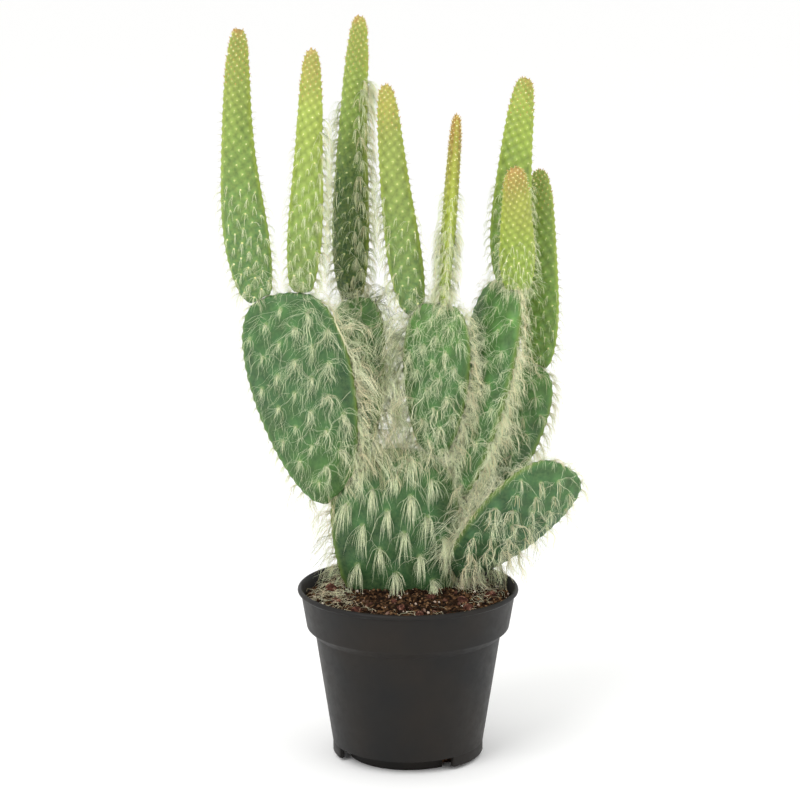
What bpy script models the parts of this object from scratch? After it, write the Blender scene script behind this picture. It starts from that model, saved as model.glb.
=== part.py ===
"""A woolly prickly pear in a round nursery pot.

The plant is a base pad set in the potting mix, six grown pads on its edge and eight long young
pads on those. Each pad is a flattened sphere drawn out to its own outline, and it is cut back to
the edge of the pad that it grows from. Stones of red lava lie in pockets in the mix.

Metres, +Z up. The origin is the centre of the pot's flat underside, and the plant is seen from -Y.
"""

import math

import bmesh
import bpy
from mathutils import Euler, Matrix, Vector, noise

# Clearances
TOUCH_GAP = 0.0003

# Pot: the rim band stands out over a tapered body, which steps in to a shallow cup that it stands on
POT_HEIGHT = 0.095
WALL = 0.0012
RIM_RADIUS = 0.0605
LIP_DEPTH = 0.0032
LIP_OVERHANG = 0.0018
BAND_DEPTH = 0.0190
BAND_TAPER = 0.0032
STEP_IN = 0.0046
STEP_DEPTH = 0.0042
BODY_TAPER = 0.0094
SHELF_HEIGHT = 0.0074
CUP_INSET = 0.0085
TURNED_SIDES = 48
FOOT_CLEAR = 0.0018
FOOT_WIDTH = 0.0030
DRAIN_WIDTH = 0.0085
DRAIN_REACH = 0.0070
# Degrees round the pot from +X, for the three skirt sectors under the body and the three drain slots
FOOT_SPAN = 63
FOOT_CENTRES = (-22, 77, -185)
DRAIN_CENTRES = (-48, 72, 192)

# Potting mix, as a heap a little higher in the middle
SOIL_BELOW_RIM = 0.0068
SOIL_DOME = 0.0022
SOIL_RINGS = 6

# Stones: (degrees round the pot from +X, share of the way to its wall from its axis or its plant, size)
STONE_CLEAR = 0.0010
STONE_SINK = 0.42
STONE_HEIGHT = 0.75
STONE_WIDTH = 0.88
STONE_ROUGH = 0.30
STONE_TURN = 109
STONES = (
    (166, 0.38, 0.0088),
    (230, 0.82, 0.0078),
    (334, 0.60, 0.0074),
    (278, 0.76, 0.0070),
    (322, 0.24, 0.0058),
    (320, 0.80, 0.0072),
    (357, 0.87, 0.0080),
    (263, 0.51, 0.0056),
    (296, 0.89, 0.0054),
    (200, 0.78, 0.0066),
    (118, 0.72, 0.0074),
    (62, 0.82, 0.0068),
    (88, 0.69, 0.0058),
    (246, 0.31, 0.0050),
    (38, 0.82, 0.0062),
)

# Pads. parent and at: the pad that it grows from, and how many degrees round that pad's outline from its
# tip, positive towards +X. lean and tilt: degrees from upright towards +X and +Y. face: degrees that the
# flat side turns from -Y towards -X. drawn: the width of a young pad's upper part, as a share of its width.
# bow: how far its middle stands out sideways, positive towards +X.
PAD_SIDES = 16
PAD_RINGS = 12
SEAT = 0.0045
# How fast the ends close, as powers of a round end: 0.5 is square, 1 is an ellipse
GROWN_BASE_END = 0.86
GROWN_TIP_END = 0.62
YOUNG_END = 0.60
THICKNESS_END = 0.60
# A grown pad widens steadily to its tip. A young pad has a belly, gone at this share of its length
GROWN_FLARE = 0.46
YOUNG_BELLY = 1.08
BELLY_REACH = 0.45
BASE_PAD_BURIED = 0.036
BASE_PAD_PLACE = (-0.0030, 0.0150)
PADS = {
    "base_pad": dict(parent=None, length=0.115, width=0.0715, thickness=0.020, lean=-3, tilt=0, face=0),
    "left_pad": dict(
        parent="base_pad", at=-58, length=0.125, width=0.059, thickness=0.015, lean=-12, tilt=-7, face=12
    ),
    "rear_pad": dict(
        parent="base_pad", at=-14, length=0.091, width=0.039, thickness=0.013, lean=-1, tilt=19, face=36
    ),
    "middle_pad": dict(
        parent="base_pad", at=22, length=0.090, width=0.037, thickness=0.014, lean=1, tilt=-6, face=10
    ),
    "upper_right_pad": dict(
        parent="base_pad", at=58, length=0.124, width=0.041, thickness=0.013, lean=12, tilt=3, face=48
    ),
    "lower_right_pad": dict(
        parent="base_pad", at=80, length=0.108, width=0.044, thickness=0.014, lean=22, tilt=28, face=8
    ),
    "low_side_pad": dict(
        parent="base_pad", at=105, length=0.093, width=0.048, thickness=0.014, lean=42, tilt=-15, face=-20
    ),
}
SHOOTS = {
    "left_outer_shoot": dict(
        parent="left_pad", at=-12, length=0.150, width=0.028, thickness=0.011, lean=-3, tilt=-3, face=4,
        drawn=0.58, bow=-0.005,
    ),
    "left_inner_shoot": dict(
        parent="left_pad", at=9, length=0.134, width=0.021, thickness=0.010, lean=3, tilt=-1, face=10,
        drawn=0.70, bow=0.001,
    ),
    "rear_shoot": dict(
        parent="rear_pad", at=-3, length=0.160, width=0.025, thickness=0.011, lean=2, tilt=0, face=24,
        drawn=0.66, bow=-0.002,
    ),
    "middle_front_shoot": dict(
        parent="middle_pad", at=-27, length=0.127, width=0.021, thickness=0.010, lean=-7, tilt=0, face=4,
        drawn=0.72, bow=-0.0015,
    ),
    "middle_side_shoot": dict(
        parent="middle_pad", at=2, length=0.106, width=0.018, thickness=0.0078, lean=4, tilt=1, face=84,
        drawn=0.80, bow=0.0,
    ),
    "right_rear_shoot": dict(
        parent="upper_right_pad", at=2, length=0.116, width=0.025, thickness=0.010, lean=4.3, tilt=10,
        face=6, drawn=0.70, bow=-0.002,
    ),
    "right_front_shoot": dict(
        parent="upper_right_pad", at=13, length=0.073, width=0.021, thickness=0.0095, lean=-2, tilt=-13,
        face=0, drawn=0.80, bow=0.0,
    ),
    "right_outer_shoot": dict(
        parent="lower_right_pad", at=3, length=0.115, width=0.024, thickness=0.010, lean=0, tilt=0,
        face=12, drawn=0.76, bow=0.001,
    ),
}

POT_PLASTIC = ("pot_plastic", (0.024, 0.024, 0.023), 0.55)
POTTING_MIX = ("potting_mix", (0.055, 0.027, 0.016), 0.95)
LAVA = ("lava", (0.230, 0.075, 0.048), 0.90)
GROWN_PAD = ("grown_pad", (0.085, 0.200, 0.085), 0.55)
YOUNG_PAD = ("young_pad", (0.290, 0.430, 0.090), 0.50)


def clear_scene():
    for obj in list(bpy.data.objects):
        bpy.data.objects.remove(obj)


def new_collection(name):
    collection = bpy.data.collections.new(name)
    bpy.context.scene.collection.children.link(collection)
    return collection


def new_material(name, colour, roughness):
    material = bpy.data.materials.new(name)
    material.use_nodes = True
    shader = material.node_tree.nodes["Principled BSDF"]
    shader.inputs["Base Color"].default_value = (*colour, 1.0)
    shader.inputs["Roughness"].default_value = roughness
    shader.inputs["Metallic"].default_value = 0.0
    return material


def add_object(name, mesh, collection, finish=None):
    """A node, or a cutter if it has no finish."""
    obj = bpy.data.objects.new(name, mesh)
    collection.objects.link(obj)
    if finish:
        mesh.materials.append(new_material(name + "_" + finish[0], *finish[1:]))
        mesh.shade_smooth()
        mesh.set_sharp_from_angle(angle=math.radians(35))
    else:
        obj.hide_render = True
        obj.display_type = "WIRE"
    return obj


def add_boolean(obj, cutter, operation="DIFFERENCE"):
    modifier = obj.modifiers.new(cutter.name, "BOOLEAN")
    modifier.operation = operation
    modifier.object = cutter


def turned(name, profile, collection, finish):
    """A solid of revolution about Z. The profile lists (radius, height) and starts and ends on the axis."""
    mesh = bpy.data.meshes.new(name)
    points = [(radius, 0.0, height) for radius, height in profile]
    mesh.from_pydata(points, [(i, i + 1) for i in range(len(points) - 1)], [])
    obj = add_object(name, mesh, collection, finish)
    screw = obj.modifiers.new("turn", "SCREW")
    screw.steps = screw.render_steps = TURNED_SIDES
    screw.use_merge_vertices = True
    screw.merge_threshold = 0.0001
    screw.use_smooth_shade = True
    return obj


# Pot

BAND_BOTTOM = POT_HEIGHT - LIP_DEPTH - BAND_DEPTH
BODY_TOP = BAND_BOTTOM - STEP_DEPTH
BAND_TOP_RADIUS = RIM_RADIUS - LIP_OVERHANG
BAND_BOTTOM_RADIUS = BAND_TOP_RADIUS - BAND_TAPER
BODY_TOP_RADIUS = BAND_BOTTOM_RADIUS - STEP_IN
BODY_BOTTOM_RADIUS = BODY_TOP_RADIUS - BODY_TAPER
CUP_RADIUS = BODY_BOTTOM_RADIUS - CUP_INSET
LIP_STEPS = 4
SECTOR_STEP = 7.5


def pot_outside():
    """(radius, height) down the outer side, from the top of the lip to the centre of the underside."""
    lip = []
    for step in range(LIP_STEPS + 1):
        turn = math.pi / 2 * step / LIP_STEPS
        lip.append((
            RIM_RADIUS - LIP_OVERHANG * (1 - math.sin(turn)),
            POT_HEIGHT - LIP_OVERHANG * (1 - math.cos(turn)),
        ))
    return lip + [
        (RIM_RADIUS, POT_HEIGHT - LIP_DEPTH + LIP_OVERHANG / 2),
        (BAND_TOP_RADIUS, POT_HEIGHT - LIP_DEPTH),
        (BAND_BOTTOM_RADIUS, BAND_BOTTOM),
        (BODY_TOP_RADIUS, BODY_TOP),
        (BODY_BOTTOM_RADIUS, SHELF_HEIGHT),
        (CUP_RADIUS, SHELF_HEIGHT),
        (CUP_RADIUS, 0.0),
        (0.0, 0.0),
    ]


def pot_inside(inset):
    """(radius, height) up the inner side, the wall's thickness and then the inset away from the outside."""
    back = WALL + inset
    return [
        (0.0, back),
        (CUP_RADIUS - back, back),
        (CUP_RADIUS - back, SHELF_HEIGHT + back),
        (BODY_BOTTOM_RADIUS - back, SHELF_HEIGHT + back),
        (BODY_TOP_RADIUS - back, BODY_TOP + back / 2),
        (BAND_BOTTOM_RADIUS - back, BAND_BOTTOM + back / 2),
        (BAND_TOP_RADIUS - back, POT_HEIGHT - LIP_DEPTH),
    ]


def ring_sector(name, inner, outer, low, high, start, span, collection):
    """Part of a ring about Z, between two radii and two heights, over span degrees from start."""
    bm = bmesh.new()
    corners = [(inner, low), (outer, low), (outer, high), (inner, high)]
    face = bm.faces.new([bm.verts.new((radius, 0.0, height)) for radius, height in corners])
    bmesh.ops.rotate(bm, matrix=Matrix.Rotation(math.radians(start), 3, "Z"), verts=face.verts)
    bmesh.ops.spin(
        bm, geom=[face, *face.edges, *face.verts], axis=(0, 0, 1), cent=(0, 0, 0),
        angle=math.radians(span), steps=math.ceil(span / SECTOR_STEP), use_duplicate=False,
    )
    bmesh.ops.recalc_face_normals(bm, faces=bm.faces)
    mesh = bpy.data.meshes.new(name)
    bm.to_mesh(mesh)
    bm.free()
    return add_object(name, mesh, collection)


def make_pot(parts, cutters):
    pot = turned("pot", pot_inside(0.0) + pot_outside(), parts, POT_PLASTIC)
    for number, centre in enumerate(FOOT_CENTRES):
        foot = ring_sector(
            f"foot_{number}", BODY_BOTTOM_RADIUS - FOOT_WIDTH, BODY_BOTTOM_RADIUS - 2 * TOUCH_GAP,
            FOOT_CLEAR, SHELF_HEIGHT + WALL / 2, centre - FOOT_SPAN / 2, FOOT_SPAN, cutters,
        )
        add_boolean(pot, foot, "UNION")
    for number, centre in enumerate(DRAIN_CENTRES):
        middle = (CUP_RADIUS + WALL - DRAIN_REACH / 2, 0, SHELF_HEIGHT / 2 - WALL)
        hole = bpy.data.meshes.new(f"drain_{number}")
        bm = bmesh.new()
        bmesh.ops.create_cube(bm, size=1.0)
        bmesh.ops.scale(bm, vec=(DRAIN_REACH, DRAIN_WIDTH, SHELF_HEIGHT), verts=bm.verts)
        bmesh.ops.translate(bm, vec=middle, verts=bm.verts)
        bmesh.ops.rotate(bm, matrix=Matrix.Rotation(math.radians(centre), 3, "Z"), verts=bm.verts)
        bm.to_mesh(hole)
        bm.free()
        add_boolean(pot, add_object(hole.name, hole, cutters))


# Potting mix

SOIL_EDGE = POT_HEIGHT - SOIL_BELOW_RIM


def soil_height(radius):
    return SOIL_EDGE + SOIL_DOME * (1 - (radius / BAND_TOP_RADIUS) ** 2)


def soil_radius():
    """Where the top of the mix meets the wall."""
    wall_low, wall_high = pot_inside(TOUCH_GAP)[-2:]
    share = (SOIL_EDGE - wall_low[1]) / (wall_high[1] - wall_low[1])
    return wall_low[0] + share * (wall_high[0] - wall_low[0])


def make_soil(parts):
    radii = [soil_radius() * (1 - ring / SOIL_RINGS) for ring in range(SOIL_RINGS + 1)]
    top = [(radius, soil_height(radius)) for radius in radii]
    return turned("soil", (pot_inside(TOUCH_GAP)[:-1] + top)[::-1], parts, POTTING_MIX)


def plant_reach(angle, above, margin):
    """How far out at this angle a point that far above the mix clears the base pad by the margin."""
    pad = PADS["base_pad"]
    turn = math.acos(1 - 2 * (BASE_PAD_BURIED + above) / pad["length"])
    half_width = pad_point(pad, turn, 0).x + margin
    half_thickness = pad_point(pad, turn, math.pi / 2).y + margin
    along = Vector((math.cos(angle) / half_width, math.sin(angle) / half_thickness))
    start = Vector((-BASE_PAD_PLACE[0] / half_width, -BASE_PAD_PLACE[1] / half_thickness))
    middle = -along.dot(start) / along.length_squared
    missed = (start + middle * along).length_squared
    if missed >= 1:
        return margin
    return max(margin, middle + math.sqrt((1 - missed) / along.length_squared))


def make_stones(parts, cutters, soil):
    for number, (angle, share, size) in enumerate(STONES, start=1):
        name = f"lava_stone_{number:02d}"
        margin = size / 2 * (1 + STONE_ROUGH / 2) + STONE_CLEAR
        above = size * (1 - STONE_SINK) * STONE_HEIGHT
        nearest = plant_reach(math.radians(angle), above, margin)
        distance = nearest + share * (soil_radius() - margin - nearest)
        centre = Vector((
            distance * math.cos(math.radians(angle)),
            distance * math.sin(math.radians(angle)),
            soil_height(distance) + size * (0.5 - STONE_SINK) * STONE_HEIGHT,
        ))
        for grow in (0.0, TOUCH_GAP):
            bm = bmesh.new()
            bmesh.ops.create_icosphere(bm, subdivisions=2, radius=0.5)
            for vertex in bm.verts:
                vertex.co *= 1 + STONE_ROUGH * noise.noise(vertex.co * 3 + Vector((7 * number, 0, 0)))
            bmesh.ops.scale(bm, vec=(size, size * STONE_WIDTH, size * STONE_HEIGHT), verts=bm.verts)
            bm.normal_update()
            for vertex in bm.verts:
                vertex.co += vertex.normal * grow
            turn = Matrix.Rotation(math.radians(number * STONE_TURN), 3, "Z")
            bmesh.ops.rotate(bm, matrix=turn, verts=bm.verts)
            bmesh.ops.translate(bm, vec=centre, verts=bm.verts)
            mesh = bpy.data.meshes.new(name)
            bm.to_mesh(mesh)
            bm.free()
            if grow:
                add_boolean(soil, add_object(name + "_pocket", mesh, cutters))
            else:
                add_object(name, mesh, parts, LAVA)


# Pads

def outline_share(pad, reach):
    """How wide the outline is at a share of the pad's length, before its ends are rounded."""
    if "drawn" in pad:
        belly = math.exp(-((reach / BELLY_REACH) ** 3))
        return pad["drawn"] + (YOUNG_BELLY - pad["drawn"]) * belly
    return 1 + GROWN_FLARE * (reach - 0.5)


def pad_point(pad, turn, around):
    """A point of the pad's surface in its own frame. turn: 0 at its base to pi at its tip."""
    reach = (1 - math.cos(turn)) / 2
    rounding = max(math.sin(turn), 0.0)
    grown_end = GROWN_BASE_END + (GROWN_TIP_END - GROWN_BASE_END) * reach
    end = YOUNG_END if "drawn" in pad else grown_end
    half_width = pad["width"] / 2 * rounding ** end * outline_share(pad, reach)
    half_thickness = pad["thickness"] / 2 * rounding ** THICKNESS_END
    bow = pad.get("bow", 0.0) * math.sin(math.pi * reach)
    return Vector((
        half_width * math.cos(around) + bow,
        half_thickness * math.sin(around),
        pad["length"] * reach,
    ))


def pad_mesh(name, pad, grow=0.0):
    bm = bmesh.new()
    bmesh.ops.create_uvsphere(bm, u_segments=PAD_SIDES, v_segments=PAD_RINGS, radius=1.0)
    for vertex in bm.verts:
        turn = math.acos(max(-1.0, min(1.0, -vertex.co.z)))
        vertex.co = pad_point(pad, turn, math.atan2(vertex.co.y, vertex.co.x))
    bm.normal_update()
    for vertex in bm.verts:
        vertex.co += vertex.normal * grow
    mesh = bpy.data.meshes.new(name)
    bm.to_mesh(mesh)
    bm.free()
    return mesh


def pad_matrix(pad, matrices):
    """Where the pad's base is and how it is turned, from the edge of its parent."""
    rotation = Euler(
        (math.radians(-pad["tilt"]), math.radians(pad["lean"]), math.radians(-pad["face"])), "ZYX"
    ).to_matrix().to_4x4()
    if pad["parent"] is None:
        place = Vector((*BASE_PAD_PLACE, soil_height(math.hypot(*BASE_PAD_PLACE)) - BASE_PAD_BURIED))
        return Matrix.Translation(place) @ rotation
    parent = {**PADS, **SHOOTS}[pad["parent"]]
    side = 0.0 if pad["at"] >= 0 else math.pi
    edge = matrices[pad["parent"]] @ pad_point(parent, math.pi - math.radians(abs(pad["at"])), side)
    return Matrix.Translation(edge) @ rotation @ Matrix.Translation((0, 0, -SEAT))


def make_pads(parts, cutters, soil):
    matrices = {}
    moulds = {}
    for name, pad in {**PADS, **SHOOTS}.items():
        matrices[name] = pad_matrix(pad, matrices)
        finish = YOUNG_PAD if "drawn" in pad else GROWN_PAD
        obj = add_object(name, pad_mesh(name, pad), parts, finish)
        obj.matrix_world = matrices[name]
        for other in moulds:
            if other == pad["parent"] or pad["parent"] == {**PADS, **SHOOTS}[other]["parent"]:
                add_boolean(obj, moulds[other])
        mould = add_object(name + "_mould", pad_mesh(name + "_mould", pad, TOUCH_GAP), cutters)
        mould.matrix_world = matrices[name]
        moulds[name] = mould
    add_boolean(soil, moulds["base_pad"])


def main():
    clear_scene()
    parts = new_collection("potted_prickly_pear")
    cutters = new_collection("cutters")
    make_pot(parts, cutters)
    soil = make_soil(parts)
    make_pads(parts, cutters, soil)
    make_stones(parts, cutters, soil)


main()
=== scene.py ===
# A woolly prickly pear in its nursery pot: the looks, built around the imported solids.
import math

import bpy
import numpy as np
from mathutils import Matrix, Vector, noise
from mathutils.bvhtree import BVHTree
from mathutils.kdtree import KDTree


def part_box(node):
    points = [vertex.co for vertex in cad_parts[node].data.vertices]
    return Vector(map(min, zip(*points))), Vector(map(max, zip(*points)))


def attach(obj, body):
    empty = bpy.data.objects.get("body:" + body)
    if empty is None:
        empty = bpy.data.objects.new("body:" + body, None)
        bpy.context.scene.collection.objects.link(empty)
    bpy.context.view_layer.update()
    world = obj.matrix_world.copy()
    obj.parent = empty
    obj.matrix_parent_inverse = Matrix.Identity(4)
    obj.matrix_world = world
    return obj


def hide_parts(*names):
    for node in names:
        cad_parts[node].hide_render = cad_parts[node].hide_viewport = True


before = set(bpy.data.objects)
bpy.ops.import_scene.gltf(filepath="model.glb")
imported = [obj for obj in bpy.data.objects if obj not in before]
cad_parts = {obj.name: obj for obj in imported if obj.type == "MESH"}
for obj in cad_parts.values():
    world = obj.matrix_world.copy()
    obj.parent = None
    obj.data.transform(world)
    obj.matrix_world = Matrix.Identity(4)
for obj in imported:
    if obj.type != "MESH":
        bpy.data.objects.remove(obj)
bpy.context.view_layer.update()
mm = 0.001
blend = dict(data_type="RGBA")
multiply = dict(data_type="RGBA", blend_type="MULTIPLY")
up = np.array([0.0, 0.0, 1.0])


def selectNone():
    bpy.ops.object.select_all(action="DESELECT")


def only(piece):
    # leaves this piece selected alone
    selectNone()
    piece.select_set(True)
    bpy.context.view_layer.objects.active = piece


def applyModifier(piece, kind, **settings):
    only(piece)
    modifier = piece.modifiers.new(kind.lower(), kind)
    for key, value in settings.items():
        setattr(modifier, key, value)
    bpy.ops.object.modifier_apply(modifier=modifier.name)


def colour(code):
    # an sRGB hex code as the linear colour that a socket takes
    shares = [int(code[i:i + 2], 16) / 255 for i in (1, 3, 5)]
    return [s / 12.92 if s <= 0.04045 else ((s + 0.055) / 1.055) ** 2.4 for s in shares] + [1.0]


def addNode(tree, kind, inputs=None, stops=None, **settings):
    # inputs are values or sockets to link, by the input's name or number; stops are a ramp's colours
    node = tree.nodes.new("ShaderNode" + kind)
    for key, value in settings.items():
        setattr(node, key, value)
    for key, value in (inputs or {}).items():
        if isinstance(value, bpy.types.NodeSocket):
            tree.links.new(value, node.inputs[key])
        else:
            node.inputs[key].default_value = value
    for number, (place, code) in enumerate(stops or []):
        elements = node.color_ramp.elements
        stop = elements[number] if number < 2 else elements.new(place)
        stop.position = place
        stop.color = colour(code)
    return node


def newMaterial(name, roughness, ior=1.45):
    material = bpy.data.materials.new(name)
    material.use_nodes = True
    shader = material.node_tree.nodes["Principled BSDF"]
    shader.inputs["Roughness"].default_value = roughness
    shader.inputs["IOR"].default_value = ior
    return material, material.node_tree, shader


def rideRoot(piece, material, nodes=()):
    piece.data.materials.clear()
    piece.data.materials.append(material)
    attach(piece, "root")
    if nodes:
        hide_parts(*nodes)


def newPiece(name, mesh):
    piece = bpy.data.objects.new(name, mesh)
    bpy.context.scene.collection.objects.link(piece)
    return piece


def faceOutwards(piece):
    only(piece)
    bpy.ops.object.mode_set(mode="EDIT")
    bpy.ops.mesh.select_all(action="SELECT")
    bpy.ops.mesh.normals_make_consistent(inside=False)
    bpy.ops.object.mode_set(mode="OBJECT")


def nodeCopy(node, name):
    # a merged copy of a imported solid, to be reshaped
    piece = newPiece(name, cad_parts[node].data.copy())
    only(piece)
    bpy.ops.object.mode_set(mode="EDIT")
    bpy.ops.mesh.select_all(action="SELECT")
    bpy.ops.mesh.remove_doubles(threshold=0.02 * mm)
    bpy.ops.mesh.tris_convert_to_quads(face_threshold=math.radians(50), shape_threshold=math.radians(50))
    bpy.ops.object.mode_set(mode="OBJECT")
    return piece


def verticesOf(mesh):
    points = np.empty(len(mesh.vertices) * 3, np.float32)
    mesh.vertices.foreach_get("co", points)
    return points.reshape(-1, 3).astype(float)


def normalsOf(mesh):
    normals = np.empty(len(mesh.vertices) * 3, np.float32)
    mesh.vertex_normals.foreach_get("vector", normals)
    return normals.reshape(-1, 3).astype(float)


def setAttribute(mesh, name, values):
    layer = mesh.attributes.new(name, "FLOAT", "POINT")
    layer.data.foreach_set("value", np.asarray(values, np.float32))


def triangles(pieces):
    return sum(len(face.vertices) - 2 for piece in pieces for face in piece.data.polygons)


def unit(vectors):
    return vectors / np.maximum(np.linalg.norm(vectors, axis=-1, keepdims=True), 1e-9)


# ---- studio: camera, light and floor

studio = {
    "cameraPlace": (-0.0044, -1.3285, 0.4664),
    "pitchDown": 11.4,
    "lens": 112.9,
    "floorSize": 60.0,
    "floorColour": "#fbfbfa",
    "skyStrength": 1.03,
    "keyPower": 22.0, "keyPlace": (-1.1, -1.3, 1.6), "keySize": 1.2,
    "fillPower": 5.0, "fillPlace": (1.4, -0.9, 0.9), "fillSize": 1.4,
}


def makeStudio():
    scene = bpy.context.scene
    pitch = math.radians(90 - studio["pitchDown"])
    bpy.ops.object.camera_add(location=studio["cameraPlace"], rotation=(pitch, 0, 0))
    scene.camera = bpy.context.object
    scene.camera.data.lens = studio["lens"]
    scene.view_settings.view_transform = "Standard"
    for name in ("key", "fill"):
        place = Vector(studio[name + "Place"])
        bpy.ops.object.light_add(type="AREA", location=place)
        lamp = bpy.context.object
        lamp.name = name + "Light"
        lamp.rotation_euler = (Vector((0, 0, 0.2)) - place).to_track_quat("-Z", "Y").to_euler()
        lamp.data.energy = studio[name + "Power"]
        lamp.data.size = studio[name + "Size"]
    world = bpy.data.worlds.new("softbox")
    scene.world = world
    world.use_nodes = True
    background = world.node_tree.nodes["Background"]
    background.inputs["Color"].default_value = colour("#ffffff")
    background.inputs["Strength"].default_value = studio["skyStrength"]
    selectNone()
    bpy.ops.mesh.primitive_plane_add(size=studio["floorSize"])
    floor = bpy.context.object
    floor.name = "floor"
    # matte white paper, which shows nothing but a soft shadow
    material, _, shader = newMaterial("matte_paper_sweep", 0.9)
    shader.inputs["Base Color"].default_value = colour(studio["floorColour"])
    floor.data.materials.append(material)
    print("studio ready")


makeStudio()

# ---- pot: injection-moulded polypropylene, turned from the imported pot's own height and rim

potLow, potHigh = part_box("pot")
pot = {
    "sides": 144,
    "wall": 1.2 * mm,
    "lipDepth": 3.2 * mm, "lipOverhang": 1.8 * mm,
    "bandDepth": 19.0 * mm, "bandTaper": 3.2 * mm,
    "stepIn": 4.6 * mm, "stepDepth": 4.2 * mm,
    "bodyTaper": 9.4 * mm,
    "shelfHeight": 7.4 * mm, "cupInset": 8.5 * mm,
    "footClear": 1.8 * mm, "footWidth": 3.0 * mm, "footSpan": 63, "footCentres": (-22, 77, -185),
    "drainWidth": 8.5 * mm, "drainReach": 7.0 * mm, "drainCentres": (-48, 72, 192),
    "edgeRound": 0.5 * mm,
    "plastic": "#181818", "warm": "#231e19", "dust": "#2f2c29", "roughness": 0.47,
}


def turnedSolid(name, outline, sides):
    # a cylinder between the first two points, then its top face is extruded and resized along the rest
    (radius, low), (_, high) = outline[:2]
    selectNone()
    bpy.ops.mesh.primitive_cylinder_add(
        vertices=sides, radius=radius, depth=high - low, location=(0, 0, (low + high) / 2)
    )
    piece = bpy.context.object
    piece.name = name
    bpy.ops.object.transform_apply(location=True, rotation=False, scale=False)
    bpy.ops.object.mode_set(mode="EDIT")
    bpy.ops.mesh.select_mode(type="FACE")
    bpy.ops.mesh.select_all(action="DESELECT")
    bpy.ops.object.mode_set(mode="OBJECT")
    for face in piece.data.polygons:
        face.select = face.normal.z > 0.9
    bpy.ops.object.mode_set(mode="EDIT")
    for (oldRadius, oldHeight), (newRadius, newHeight) in zip(outline[1:], outline[2:]):
        bpy.ops.mesh.extrude_region_move(TRANSFORM_OT_translate={"value": (0, 0, newHeight - oldHeight)})
        share = newRadius / oldRadius
        bpy.ops.transform.resize(value=(share, share, 1), center_override=(0, 0, newHeight))
    bpy.ops.object.mode_set(mode="OBJECT")
    return piece


def footSector(start):
    # one skirt sector under the body, spun from its rectangular section
    outer = potRadii["bodyBottom"]
    height = pot["shelfHeight"] + pot["wall"] / 2 - pot["footClear"]
    selectNone()
    bpy.ops.mesh.primitive_plane_add(
        size=1, rotation=(math.radians(90), 0, 0),
        location=(outer - pot["footWidth"] / 2, 0, pot["footClear"] + height / 2),
    )
    foot = bpy.context.object
    foot.scale = (pot["footWidth"] - 0.1 * mm, height, 1)
    bpy.ops.object.transform_apply(location=True, rotation=True, scale=True)
    bpy.ops.object.mode_set(mode="EDIT")
    bpy.ops.mesh.select_all(action="SELECT")
    bpy.ops.mesh.spin(steps=24, angle=math.radians(pot["footSpan"]), center=(0, 0, 0), axis=(0, 0, 1))
    bpy.ops.object.mode_set(mode="OBJECT")
    faceOutwards(foot)
    points = verticesOf(foot.data)
    middle = math.degrees(math.atan2(points[:, 1].mean(), points[:, 0].mean()))
    foot.data.transform(Matrix.Rotation(math.radians(start - middle), 4, "Z"))
    applyModifier(foot, "BEVEL", width=pot["edgeRound"], segments=2, limit_method="ANGLE")
    return foot


potRadii = {"rim": (potHigh.x - potLow.x) / 2}
potRadii["bandTop"] = potRadii["rim"] - pot["lipOverhang"]
potRadii["bandBottom"] = potRadii["bandTop"] - pot["bandTaper"]
potRadii["bodyTop"] = potRadii["bandBottom"] - pot["stepIn"]
potRadii["bodyBottom"] = potRadii["bodyTop"] - pot["bodyTaper"]
potRadii["cup"] = potRadii["bodyBottom"] - pot["cupInset"]
bandBottomHeight = potHigh.z - pot["lipDepth"] - pot["bandDepth"]
bodyTopHeight = bandBottomHeight - pot["stepDepth"]


def potInside(back):
    # up the inner wall, this far in from the outside
    return [
        (potRadii["bandTop"] - back, potHigh.z - pot["lipDepth"]),
        (potRadii["bandBottom"] - back, bandBottomHeight + back / 2),
        (potRadii["bodyTop"] - back, bodyTopHeight + back / 2),
        (potRadii["bodyBottom"] - back, pot["shelfHeight"] + back),
        (potRadii["cup"] - back, pot["shelfHeight"] + back),
        (potRadii["cup"] - back, back),
    ]


def makePot():
    top = potHigh.z
    turns = np.linspace(0, math.pi / 2, 6)
    over = pot["lipOverhang"]
    lip = [(potRadii["rim"] - over * (1 - math.cos(a)), top - over * (1 - math.sin(a))) for a in turns]
    outline = [
        (potRadii["cup"], potLow.z), (potRadii["cup"], pot["shelfHeight"]),
        (potRadii["bodyBottom"], pot["shelfHeight"]), (potRadii["bodyTop"], bodyTopHeight),
        (potRadii["bandBottom"], bandBottomHeight), (potRadii["bandTop"], top - pot["lipDepth"]),
        (potRadii["rim"], top - pot["lipDepth"] + pot["lipOverhang"] / 2), *lip, *potInside(pot["wall"]),
    ]
    piece = turnedSolid("nurseryPot", outline, pot["sides"])
    applyModifier(piece, "BEVEL", width=pot["edgeRound"], segments=2, limit_method="ANGLE",
                  angle_limit=math.radians(25))
    for centre in pot["footCentres"]:
        foot = footSector(centre)
        applyModifier(piece, "BOOLEAN", operation="UNION", object=foot)
        bpy.data.objects.remove(foot)
    for centre in pot["drainCentres"]:
        selectNone()
        bpy.ops.mesh.primitive_cube_add(size=1)
        slot = bpy.context.object
        slot.data.transform(Matrix.Diagonal((pot["drainReach"], pot["drainWidth"], pot["shelfHeight"], 1)))
        middle = potRadii["cup"] + pot["wall"] - pot["drainReach"] / 2
        slot.data.transform(Matrix.Translation((middle, 0, pot["shelfHeight"] / 2 - pot["wall"])))
        slot.data.transform(Matrix.Rotation(math.radians(centre), 4, "Z"))
        applyModifier(piece, "BOOLEAN", operation="DIFFERENCE", object=slot)
        bpy.data.objects.remove(slot)
    only(piece)
    bpy.ops.object.shade_smooth_by_angle(angle=math.radians(30))
    rideRoot(piece, pottedPlastic(), ["pot"])
    print("pot turned")


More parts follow.
